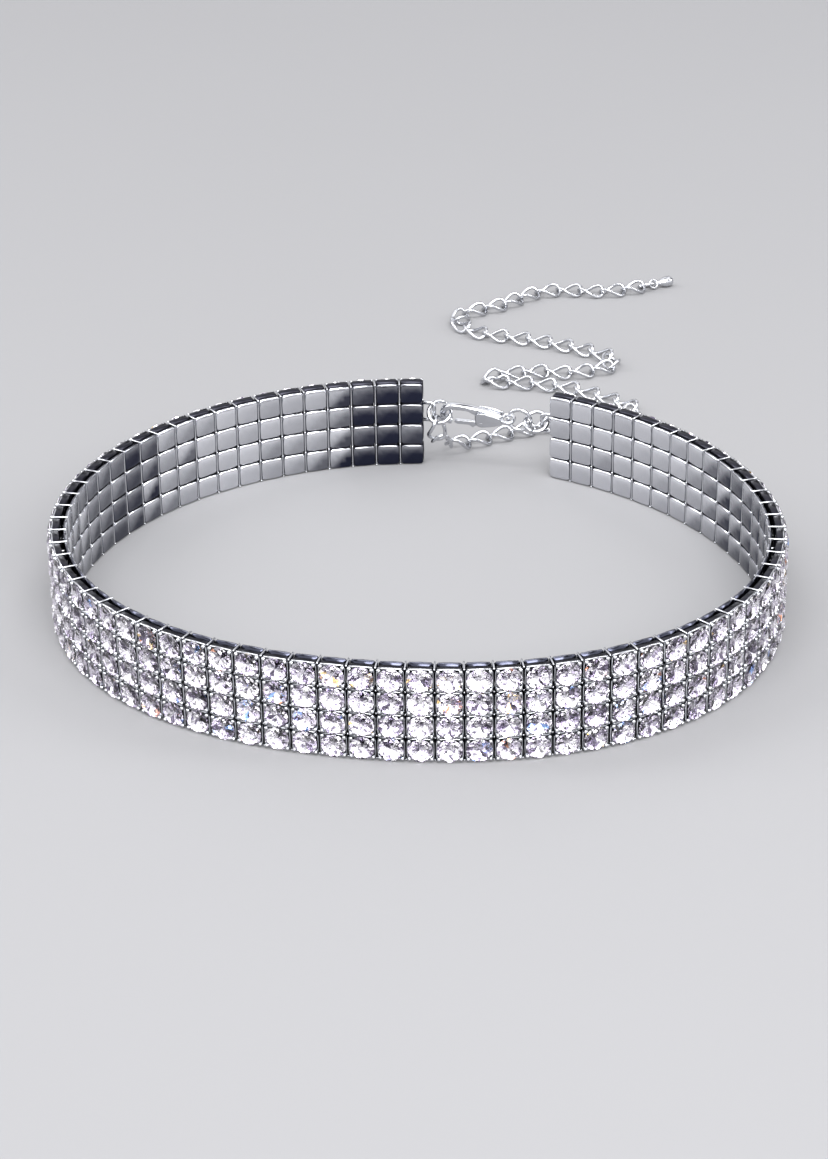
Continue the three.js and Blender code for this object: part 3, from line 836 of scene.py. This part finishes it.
def end_loop_shape():
    """The square loop on a band end: two legs along X, and a bar that joins them in quarter bends."""
    sizes = bpy.context.scene.choker_closure
    half, bend = sizes.loop_height / 2, 1.8 * sizes.loop_wire
    angle = np.linspace(0, np.pi / 2, 6)
    reach = sizes.loop_reach - bend
    corner = round_points(np.pi / 2 - angle, bend)[:, :2] + (reach, half - bend)
    legs = np.linspace(-sizes.loop_root, reach, 4)[:-1]
    upper = np.concatenate([np.stack([legs, 0 * legs + half], -1), corner])
    flat = np.concatenate([upper, upper[::-1] * (1, -1)])
    path = np.stack([flat[:, 0], 0 * flat[:, 0], flat[:, 1]], -1)
    return wire(path, sizes.loop_wire, OUT, 10)


class CHOKER_OT_closure(bpy.types.Operator):
    """Hangs the band's end loops and the three jump rings of the closure"""

    bl_idname = "choker.closure"
    bl_label = "Closure rings"

    def execute(self, context):
        sizes = context.scene.choker_closure
        plan = layout()
        far = plan["closure"] @ moved(plan["spots"]["end"]) @ turned(np.pi, 2)
        ends = np.stack([plan["closure"], far])
        add_piece("end_loops", repeated(end_loop_shape(), ends))
        shape = ring_shape(sizes.ring_radius, sizes.ring_wire)
        for count, (name, tilt) in enumerate(RING_TILTS.items()):
            at = plan["closure"] @ moved(plan["spots"][name]) @ turned(np.radians(tilt), 0)
            spun = at @ turned(np.radians(70 + 95 * count), 2)
            add_piece(name + "_wire", set_at(shape, spun), nodes=(name,))
        return {"FINISHED"}


def curve_to(start, control, end, share):
    """A bend from start to end, pulled towards one control point: the weights are those of a parabola."""
    share = share[:, None]
    start, control, end = (np.array(each) for each in (start, control, end))
    return (1 - share) ** 2 * start + 2 * share * (1 - share) * control + share**2 * end


def slab(outer, inner, half_depth, middle=0, boxy=0.55):
    """A flat form between an outer and an inner edge in X and Y, rounded over its depth in Z."""
    flat = [np.concatenate([edge, np.full((len(edge), 1), middle)], 1) for edge in (outer, inner)]
    centre, out = (flat[0] + flat[1]) / 2, (flat[0] - flat[1]) / 2
    return swept(centre, out, UP, 1, half_depth, 14, boxy)


def clasp_hook():
    """The clasp's hook: an arc round the nose, then a back that widens into the heel."""
    sizes = bpy.context.scene.choker_closure
    nose, wall, mouth, long = sizes.nose_radius, sizes.hook_wall, sizes.mouth_length, sizes.clasp_length
    angle = np.radians(np.concatenate([[252, 251], np.linspace(248, 92, 18)]))
    ray = round_points(angle, 1)[:, :2]
    thin = np.concatenate([[0.35, 0.8], np.ones(18)])[:, None]
    centre = np.array([nose, 0]) + ray * (nose - wall / 2)
    arc_outer, arc_inner = centre + ray * thin * wall / 2, centre - ray * thin * wall / 2
    share = np.linspace(0, 1, 22)
    outer = curve_to((nose, nose), (mouth, nose), (long, sizes.neck_half), share)
    x = outer[:, 0]
    knots = [nose, *(mouth + np.array([-1.4, 0.2, 1.9, 2.3]) * MM), long]
    heights = [nose - wall, nose - wall, 0.25 * MM, 0.15 * MM, -0.65 * MM, -sizes.neck_half]
    inner = np.stack([x, np.interp(x, knots, heights)], -1)
    outer, inner = np.concatenate([arc_outer, outer]), np.concatenate([arc_inner, inner])
    depth = np.concatenate([[0.3, 0.5], np.full(len(outer) - 2, 0.6)]) * MM
    return slab(outer, inner, depth)


def clasp_cheek(side):
    """One of the heel's two cheeks: a leaf between two bends, on one side of the lever."""
    sizes = bpy.context.scene.choker_closure
    mouth, long, heel = sizes.mouth_length, sizes.clasp_length, sizes.heel_half
    share = np.linspace(0, 1, 14)
    middle = (mouth + long) / 2
    outer = curve_to((mouth, 0.8 * heel), (middle, heel), (long, sizes.neck_half), share)
    inner = curve_to((mouth, -heel), (middle, -heel), (long, -sizes.neck_half), share)
    blunt = np.sqrt(np.clip(share * 6 + 0.35, 0, 1))[:, None]
    centre = (outer + inner) / 2
    outer, inner = centre + (outer - centre) * blunt, centre + (inner - centre) * blunt
    half_thickness, spread = 0.215 * MM, 0.875 * MM
    return slab(outer, inner, half_thickness, side * spread)


def rivet(at, half_length):
    """The lever's pin, with a low dome on each side of the heel."""
    height = np.array([-1, -0.97, -0.9, -0.88, 0.88, 0.9, 0.97, 1]) * half_length
    radius = np.array([0.2, 0.34, 0.42, 0.3, 0.3, 0.42, 0.34, 0.2]) * MM
    path = np.stack([0 * height + at[0], 0 * height + at[1], height], -1)
    return swept(path, ALONG, OUT, radius, radius, 14)


def clasp_lever_shape(pivot):
    """The lever: a blade from the nose to a round boss on the pin, with a thumb nub near the heel."""
    sizes = bpy.context.scene.choker_closure
    boss, blade, nub, seat = 0.75 * MM, 0.95 * MM, 0.6 * MM, np.radians(250)
    tip = (sizes.nose_radius - sizes.hook_wall) * np.array([np.cos(seat), np.sin(seat)])
    tip[0] += sizes.nose_radius
    nose_at = pivot[0] - np.hypot(*(tip - pivot)) + sizes.gap + 0.06 * MM
    start = nose_at + np.array([0, 0.08, 0.25]) * MM
    x = np.concatenate([start, np.linspace(nose_at + 0.5 * MM, pivot[0] + boss, 34)])
    round_at = np.sqrt(np.clip(boss**2 - (x - pivot[0]) ** 2, (0.12 * MM) ** 2, None))
    nub_at = (x - sizes.mouth_length + 0.85 * MM) / (0.42 * MM)
    under = tip[1] - blade - nub * np.exp(-(nub_at**2))
    raised = np.maximum(under, pivot[1] - 1.15 * boss)
    under = np.where(x > pivot[0] - 0.55 * boss, raised, under)
    lower = np.where(x < pivot[0], under, pivot[1] - round_at)
    upper = np.where(x < pivot[0] - boss, tip[1], pivot[1] + round_at)
    blunt = np.clip((x - nose_at) / (0.3 * MM) + 0.45, 0, 1)
    middle, half = (upper + lower) / 2, (upper - lower) / 2 * blunt
    outer, inner = np.stack([x, middle + half], -1), np.stack([x, middle - half], -1)
    depth = 0.4 * MM * np.clip(0.75 + (x - nose_at) / (2.5 * MM), 0, 1)
    return slab(outer, inner, depth)


class CHOKER_OT_clasp(bpy.types.Operator):
    """Makes the lobster clasp: hook, heel, eye and rivet, and the sprung lever on its own body"""

    bl_idname = "choker.clasp"
    bl_label = "Clasp"

    def execute(self, context):
        sizes = context.scene.choker_closure
        plan = layout()
        at = plan["closure"] @ moved(plan["spots"]["clasp"]) @ turned(sizes.clasp_tilt, 0)
        pivot = np.array([sizes.mouth_length + 0.9 * MM, -1 * MM])
        eye_at = moved(plan["spots"]["eye"]) @ turned(np.radians(20) - sizes.clasp_tilt, 0)
        eye = set_at(eye_shape(sizes.eye_radius, sizes.ring_wire), eye_at)
        form = joined([clasp_hook(), clasp_cheek(1), clasp_cheek(-1), rivet(pivot, 1.16 * MM), eye])
        add_piece("clasp_form", set_at(form, at), nodes=("clasp_body",))
        lever = set_at(clasp_lever_shape(pivot), at)
        add_piece("clasp_lever_form", lever, body=LEVER_BODY, nodes=("clasp_lever",))
        return {"FINISHED"}


def smooth_route(points, count):
    """A curve through the points, evenly stepped in its own measure.

    It is a cubic between each two points. Its slopes come from the neighbours, weighted by the square
    roots of the distances.
    """
    ends = [2 * points[0] - points[1], 2 * points[-1] - points[-2]]
    padded = np.concatenate([ends[:1], points, ends[1:]])
    spans = len(points) - 1
    measure = np.arange(count + 1) * spans / count
    span = np.minimum(measure.astype(int), spans - 1)
    share = (measure - span)[:, None]
    p0, p1, p2, p3 = (padded[span + step] for step in range(4))
    steps = np.diff([p0, p1, p2, p3], axis=0)
    d0, d1, d2 = np.sqrt(np.linalg.norm(steps, axis=2, keepdims=True))
    slope1 = (steps[0] / d0 - (p2 - p0) / (d0 + d1) + steps[1] / d1) * d1
    slope2 = (steps[1] / d1 - (p3 - p1) / (d1 + d2) + steps[2] / d2) * d1
    square, cube = share**2, share**3
    first = (2 * cube - 3 * square + 1) * p1 + (cube - 2 * square + share) * slope1
    return first + (3 * square - 2 * cube) * p2 + (cube - square) * slope2


def chain_joints(plan):
    """The links' joints, one pitch apart in a straight line, along the route from the hook ring."""
    sizes, chain = bpy.context.scene.choker_closure, bpy.context.scene.choker_chain
    ring = plan["closure"] @ moved(plan["spots"]["hook_ring"])
    centre = ring[:3, 3]
    hang = np.array(CHAIN_HANG) * MM + centre
    laid = np.concatenate([np.array(CHAIN_ROUTE) * MM, np.zeros((len(CHAIN_ROUTE), 1))], 1) + centre
    laid[:, 2] = chain.half_width / 2 + chain.wire
    rim = round_points(np.radians(260), sizes.ring_radius)
    held = put(rim, ring @ turned(np.radians(RING_TILTS["hook_ring"]), 0))
    start = held - unit(hang[0] - held) * (sizes.ring_wire + sizes.gap + chain.bite)
    curve = smooth_route(np.concatenate([[start], hang, laid]), CURVE_STEPS)
    joints, at = [start], 0
    while True:
        far = np.linalg.norm(curve[at:] - joints[-1], axis=1) >= chain.pitch
        if not far.any():
            return np.array(joints)
        at += int(far.argmax())
        joints.append(curve[at])


def link_shape():
    """A chain link: an oval of wire, twisted up and down twice in a turn."""
    chain = bpy.context.scene.choker_chain
    turn = np.arange(32) * np.pi / 16
    long = chain.pitch / 2 + chain.wire - chain.bite
    twist = chain.half_width / 2 * np.sin(2 * turn)
    path = round_points(turn, 1, twist) * (long, chain.half_width, 1)
    return wire(path, chain.wire, UP, 10, closed=True)


class CHOKER_OT_chain(bpy.types.Operator):
    """Lays the spare chain, link by link, along its route"""

    bl_idname = "choker.chain"
    bl_label = "Chain"

    def execute(self, context):
        joints = chain_joints(layout())
        along = unit(np.diff(joints, axis=0))
        across = unit(np.cross(UP, along))
        places = place((joints[1:] + joints[:-1]) / 2, along, across, np.cross(along, across))
        places[0] = places[0] @ turned(np.radians(-45), 0)
        add_piece("chain_links", repeated(link_shape(), places), nodes=("extender_chain",))
        return {"FINISHED"}


class CHOKER_OT_drop(bpy.types.Operator):
    """Hangs the small ring and the drop at the chain's free end"""

    bl_idname = "choker.drop"
    bl_label = "End ring and drop"

    def execute(self, context):
        sizes, chain = context.scene.choker_closure, context.scene.choker_chain
        last = chain_joints(layout())[-2:]
        heading = np.arctan2(*(last[1] - last[0])[[1, 0]])
        tail = moved(*last[1][:2]) @ turned(heading, 2)
        tilt = np.radians(28)
        ring_at = chain.end_radius - sizes.gap - sizes.ring_wire
        lie = chain.end_radius * np.sin(tilt) + sizes.ring_wire
        at = tail @ moved(ring_at, 0, lie) @ turned(-tilt, 0) @ turned(np.radians(200), 2)
        ring = set_at(ring_shape(chain.end_radius, sizes.ring_wire), at)
        add_piece("end_ring_wire", ring, nodes=("end_ring",))
        held = ring_at + chain.end_radius - sizes.ring_wire - sizes.gap
        at = tail @ moved(held - chain.drop_wire + chain.drop_eye, 0, chain.drop_radius)
        share = np.array([0.02, 0.06, 0.14, 0.25, 0.4, 0.55, 0.7, 0.82, 0.92, 0.98])
        swell = np.array([0.4, 0.44, 0.52, 0.68, 0.88, 0.98, 1, 0.9, 0.62, 0.28])
        path = (chain.drop_eye + share * chain.drop_length)[:, None] * ALONG
        radius = swell * chain.drop_radius
        eye = set_at(eye_shape(chain.drop_eye, chain.drop_wire), turned(np.radians(60), 0))
        form = joined([swept(path, OUT, UP, radius, radius, 20), eye])
        add_piece("drop_form", set_at(form, at), nodes=("end_drop",))
        return {"FINISHED"}


def add_camera():
    """The camera at the photograph's angle, a little turned about its own line of sight."""
    camera = bpy.data.cameras.new("camera")
    camera.sensor_fit = "VERTICAL"
    camera.sensor_height = 36
    camera.lens = 93.43
    camera.clip_start, camera.clip_end = 0.01, 20
    view = bpy.data.objects.new("camera", camera)
    look = Matrix.Rotation(np.radians(62), 4, "X")
    roll = Matrix.Rotation(np.radians(-0.838), 4, "Z")
    view.matrix_world = Matrix.Translation((-0.42 * MM, -467.6 * MM, 231 * MM)) @ look @ roll
    bpy.context.collection.objects.link(view)
    bpy.context.scene.camera = view


def floor_shape():
    """A round floor just below the necklace: three rings of points and the faces between them."""
    around = np.arange(48)
    after = (around + 1) % 48
    rings = np.array([0.3, 1.5, 3.5])[:, None, None] * round_points(around * np.pi / 24, 1)
    points = np.concatenate([rings.reshape(-1, 3), [[0, 0, 0]]]) - 0.02 * MM * UP
    sides = np.stack([around, around + 48, after + 48, after], -1)
    return points, np.concatenate([sides, sides + 48, faces_of(144, around, after)])


def add_lamps():
    """Four soft rectangular lamps that face the middle of the floor."""
    for name, (spot, size, power) in LAMPS.items():
        lamp = bpy.data.lights.new(name, "AREA")
        lamp.shape = "RECTANGLE"
        lamp.size, lamp.size_y = size
        lamp.energy = power
        holder = bpy.data.objects.new(name, lamp)
        holder.location = spot
        holder.rotation_euler = Vector(spot).to_track_quat("Z", "Y").to_euler()
        bpy.context.collection.objects.link(holder)


def add_world():
    """Light from all round, brightest high in front, with soft dark patches for the metal."""
    world = bpy.data.worlds.new("studio")
    bpy.context.scene.world = world
    world.use_nodes = True
    tree = world.node_tree
    sky = filled(tree.nodes["Background"], {"Strength": 1.25})
    direction = add_node(tree, "TexCoord").outputs["Generated"]
    towards = add_node(tree, "VectorMath")
    towards.operation = "DOT_PRODUCT"
    towards.inputs[1].default_value = (0, -0.5, 0.866)
    tree.links.new(direction, towards.inputs[0])
    ramp = add_node(tree, "ValToRGB")
    elements = ramp.color_ramp.elements
    for position, _ in SKY_STOPS[1:-1]:
        elements.new(position)
    for element, (position, level) in zip(elements, SKY_STOPS):
        element.position = position
        element.color = (level, level, level * 1.03, 1)
    height = spread_to(tree, towards.outputs["Value"], 0, 1, -1, 1)
    tree.links.new(height, ramp.inputs["Fac"])
    patches = add_node(tree, "TexNoise", Scale=2.2, Detail=0.5)
    tree.links.new(direction, patches.inputs["Vector"])
    lit = spread_to(tree, patches.outputs["Fac"], 0, 1, 0.44, 0.51)
    panels = between(tree, lit, (0.08, 0.08, 0.09), ramp.outputs["Color"])
    tree.links.new(panels, sky.inputs["Color"])


class CHOKER_OT_stage(bpy.types.Operator):
    """Sets the camera at the photograph's angle, the pale floor and soft studio light"""

    bl_idname = "choker.stage"
    bl_label = "Camera, floor and light"

    def execute(self, context):
        add_camera()
        context.scene.view_settings.view_transform = "Standard"
        floor = mesh_object("floor", floor_shape(), [floor_finish()], smooth=False)
        add_lamps()
        add_world()
        return {"FINISHED"}


class CHOKER_PT_panel(bpy.types.Panel):
    """Lists the choker's sizes and the operators that make its pieces"""

    bl_label = "Choker"
    bl_space_type = "VIEW_3D"
    bl_region_type = "UI"
    bl_category = "Choker"

    def draw(self, context):
        for settings in SETTINGS:
            group = getattr(context.scene, settings)
            for name in group.__annotations__:
                self.layout.prop(group, name)
        for each in OPERATORS:
            self.layout.operator(each.bl_idname)


SETTINGS = {
    "choker_band": BandSizes,
    "choker_closure": ClosureSizes,
    "choker_chain": ChainSizes,
    "choker_finish": Finishes,
}
OPERATORS = (
    CHOKER_OT_stage,
    CHOKER_OT_cups,
    CHOKER_OT_stones,
    CHOKER_OT_lining,
    CHOKER_OT_rungs,
    CHOKER_OT_closure,
    CHOKER_OT_clasp,
    CHOKER_OT_chain,
    CHOKER_OT_drop,
)


def register():
    """Registers the settings, the operators and the panel."""
    for name, group in SETTINGS.items():
        bpy.utils.register_class(group)
        setattr(bpy.types.Scene, name, bpy.props.PointerProperty(type=group))
    for each in (*OPERATORS, CHOKER_PT_panel):
        bpy.utils.register_class(each)


def unregister():
    """Takes the panel, the operators and the settings away again."""
    for each in (CHOKER_PT_panel, *reversed(OPERATORS)):
        bpy.utils.unregister_class(each)
    for name, group in SETTINGS.items():
        delattr(bpy.types.Scene, name)
        bpy.utils.unregister_class(group)


def main():
    register()
    for each in OPERATORS:
        group, name = each.bl_idname.split(".")
        getattr(getattr(bpy.ops, group), name)()


if __name__ == "__main__":
    main()
